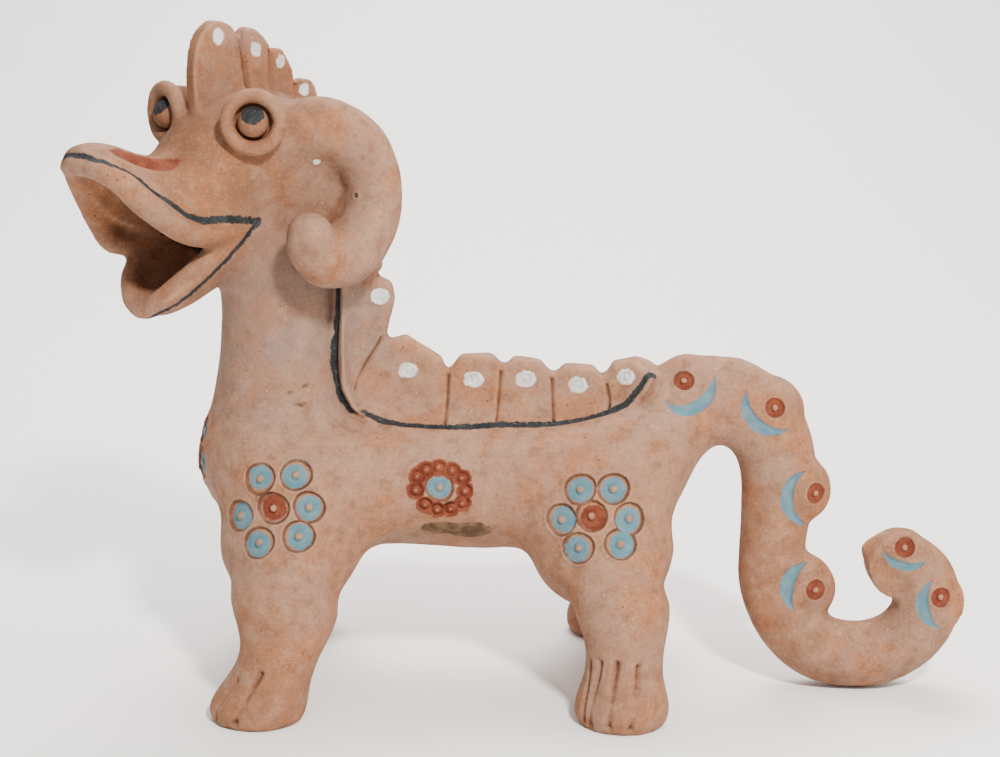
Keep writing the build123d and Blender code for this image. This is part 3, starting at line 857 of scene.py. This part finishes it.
def piece_gaps(places, look):
    """Distance from every place to every raw piece within look of it."""
    gaps = np.full((len(places), len(names)), 1.0)
    for column, name in enumerate(names):
        raw = vertex_places(pieces[name].data)
        find = BVHTree.FromObject(pieces[name], bpy.context.evaluated_depsgraph_get()).find_nearest
        close = ((places > raw.min(0) - look) & (places < raw.max(0) + look)).all(1)
        for index in np.nonzero(close)[0]:
            found = find(places[index], look)
            if found[0] is not None:
                gaps[index, column] = found[3]
    return gaps


def smear_weights(gaps, smears):
    owner = gaps.argmin(1)
    weights = np.zeros(len(gaps))
    for one, first in enumerate(names):
        for other, second in enumerate(names):
            for (this, that), reach in smears.items():
                meet = (this in first and that in second) or (that in first and this in second)
                if one != other and meet:
                    apart = np.where(owner == one, gaps[:, other], 1.0)
                    weights = np.maximum(weights, np.clip(1.3 * (1 - apart / (reach * MM)), 0, 1))
    return weights


def smear(thing, weights, rounds):
    """Smooths where the weights say so."""
    group = thing.vertex_groups.new(name="smeared")
    for level in range(1, 33):
        chosen = np.nonzero(np.round(weights * 32) == level)[0]
        group.add(chosen.tolist(), level / 32, "REPLACE")
    modified(thing, "SMOOTH", factor=0.5, iterations=rounds, vertex_group="smeared")
    thing.vertex_groups.clear()


def joined(name, meshes):
    whole = bmesh.new()
    for mesh in meshes:
        whole.from_mesh(mesh)
    data = bpy.data.meshes.new(name)
    whole.to_mesh(data)
    whole.free()
    thing = bpy.data.objects.new(name, data)
    bpy.context.scene.collection.objects.link(thing)
    return thing


strips = ("back_crest", "head_crest", "eye_ring_left", "eye_ring_right")
rolls = joined("rolls", [pieces[name].data for name in names if name not in strips])
modified(rolls, "REMESH", mode="VOXEL", voxel_size=0.9 * MM)
roll_gaps = piece_gaps(vertex_places(rolls.data), 17 * MM)
smear(rolls, smear_weights(roll_gaps, ROLL_SMEARS), 190)

skin = joined("skin", [rolls.data] + [pieces[name].data for name in strips])
bpy.data.objects.remove(rolls)
modified(skin, "REMESH", mode="VOXEL", voxel_size=grain_size)
gaps = piece_gaps(vertex_places(skin.data), 9 * MM)
smear(skin, smear_weights(gaps, STRIP_SMEARS), int(14 * (0.45 * MM / grain_size) ** 2))
modified(skin, "SMOOTH", factor=0.5, iterations=3)

# Pressing and painting: once on the even skin to find where it needs finer points, then for good.
owner = gaps.argmin(1)
links = np.empty(len(skin.data.edges) * 2, np.int32)
skin.data.edges.foreach_get("vertices", links)
links = links.reshape(-1, 2)
for vote in range(8):
    votes = np.zeros((len(owner), len(names)), np.float32)
    votes[np.arange(len(owner)), owner] = 1
    np.add.at(votes, (links[:, 0], owner[links[:, 1]]), 1)
    np.add.at(votes, (links[:, 1], owner[links[:, 0]]), 1)
    owner = votes.argmax(1)
corners = np.empty(len(skin.data.loops), np.int32)
skin.data.loops.foreach_get("vertex_index", corners)
face_owner = np.array([np.bincount(row).argmax() for row in owner[corners.reshape(-1, 4)]])


def vertex_normals(mesh):
    flat = np.empty(len(mesh.vertices) * 3)
    mesh.vertex_normals.foreach_get("vector", flat)
    return flat.reshape(-1, 3)


def in_order(items):
    """A set of edges or faces as a list that is the same on each run."""
    return sorted(items, key=lambda item: item.index)


even = Surface(vertex_places(skin.data), vertex_normals(skin.data))
for mark in marks:
    mark(even)
fine = bmesh.new()
fine.from_mesh(skin.data)
fine.faces.ensure_lookup_table()
fine.verts.ensure_lookup_table()
owner_layer = fine.faces.layers.int.new("owner")
for face, number in zip(fine.faces, face_owner):
    face[owner_layer] = number
edges = {edge for index in np.nonzero(even.fine)[0] for edge in fine.verts[index].link_edges}
bmesh.ops.subdivide_edges(fine, edges=in_order(edges), cuts=1, use_grid_fill=True)
fine.to_mesh(skin.data)
fine.free()

wet = Surface(vertex_places(skin.data), vertex_normals(skin.data))
for mark in marks:
    mark(wet)


def lump(place):
    """How far the hand left the clay proud of true here, millimetres."""
    return noise.noise(place / 9) * 0.22 + noise.noise(place / 2.6) * 0.05


lumps = np.array([lump(Vector(place)) for place in wet.places])
shifted = (wet.places + wet.normals * (wet.lift + lumps)[:, None]) * MM
skin.data.vertices.foreach_set("co", shifted.ravel())
skin.data.update()

# How far each point sinks below the skin smoothed out: the clay shader paints shade in these hollows and a
# highlight on the ridges.
smoothed = joined("smoothed", [skin.data])
modified(smoothed, "SMOOTH", factor=0.5, iterations=10)
normals = vertex_normals(skin.data)
hollow = ((vertex_places(smoothed.data) - shifted) * normals).sum(1) / (0.12 * MM)
bpy.data.objects.remove(smoothed)


def store(mesh, name, kind, key, values):
    mesh.attributes.new(name, kind, "POINT").data.foreach_set(key, np.asarray(values, np.float32).ravel())


store(skin.data, "hollow", "FLOAT", "value", hollow)
store(skin.data, "rim", "FLOAT", "value", wet.rim)
for paint, inside in wet.paint.items():
    store(skin.data, paint, "FLOAT", "value", inside)
store(skin.data, "skin_normal", "FLOAT_VECTOR", "vector", normals)


# Parting: every patch of skin goes back to the piece it came from and is closed where it was cut.
def rim_loops(part):
    """The open edges of a patch, one list for each loop."""
    part.edges.index_update()
    loose = {edge for edge in part.edges if edge.is_boundary}
    loops = []
    while loose:
        loop = {loose.pop()}
        reach = {vert for edge in loop for vert in edge.verts}
        while reach:
            grown = {edge for vert in reach for edge in vert.link_edges if edge in loose}
            loose -= grown
            loop |= grown
            reach = {vert for edge in grown for vert in edge.verts}
        loops.append(in_order(loop))
    return sorted(loops, key=lambda loop: loop[0].index)


cap_depth = 1.3 * MM
whole = BVHTree.FromObject(skin, bpy.context.evaluated_depsgraph_get())
for column, name in enumerate(names):
    part = bmesh.new()
    part.from_mesh(skin.data)
    owner_layer = part.faces.layers.int["owner"]
    bmesh.ops.delete(part, geom=[f for f in part.faces if f[owner_layer] != column], context="FACES")
    out_layer = part.verts.layers.float_vector["skin_normal"]
    for loop in rim_loops(part):
        wall = bmesh.ops.extrude_edge_only(part, edges=loop)["geom"]
        for vert in (item for item in wall if isinstance(item, bmesh.types.BMVert)):
            vert.co -= cap_depth * vert[out_layer]
        inner = [item for item in wall if isinstance(item, bmesh.types.BMEdge) and item.is_boundary]
        made = bmesh.ops.triangle_fill(part, use_beauty=True, edges=inner)["geom"]
        cap = [item for item in made if isinstance(item, bmesh.types.BMFace)]
        shared = [edge.link_loops for edge in inner if len(edge.link_loops) == 2]
        if shared and shared[0][0].vert == shared[0][1].vert:
            bmesh.ops.reverse_faces(part, faces=cap)
        fixed = {vert for edge in inner for vert in edge.verts}
        for halving in range(6):
            part.edges.index_update()
            long = {edge for face in cap for edge in face.edges if edge.calc_length() > 3.5 * MM}
            long -= set(inner)
            if not long:
                break
            split_up = bmesh.ops.subdivide_edges(part, edges=in_order(long), cuts=1)["geom_inner"]
            middles = [item for item in split_up if isinstance(item, bmesh.types.BMVert)]
            around = {face for vert in middles for face in vert.link_faces}
            part.faces.index_update()
            cap = in_order(around | {face for face in cap if face.is_valid})
            cap = bmesh.ops.triangulate(part, faces=cap)["faces"]
        for vert in {vert for face in cap for vert in face.verts} - fixed:
            place, outward, index, gap = whole.find_nearest(vert.co)
            if (vert.co - place).dot(outward) > -cap_depth:
                vert.co = place - cap_depth * outward
    for face in part.faces:
        face.smooth = True
    mesh = bpy.data.meshes.new(name + "_clay")
    part.to_mesh(mesh)
    part.free()
    kept = np.empty(len(mesh.vertices) * 3, np.float32)
    mesh.attributes["skin_normal"].data.foreach_get("vector", kept)
    mesh.normals_split_custom_set_from_vertices(kept.reshape(-1, 3))
    mesh.materials.append(pieces[name].data.materials[0])
    pieces[name].data = mesh
bpy.data.objects.remove(skin)

for name, pupil in pupils.items():
    mesh = pieces[name].data
    for polygon in mesh.polygons:
        polygon.use_smooth = True
    off = np.linalg.norm(vertex_places(mesh) / MM - np.array(pupil), axis=1)
    store(mesh, "line_paint", "FLOAT", "value", 2.5 - off)
    # no painted shade along rims on the eyeballs
    store(mesh, "rim", "FLOAT", "value", np.full(len(off), 9.0))
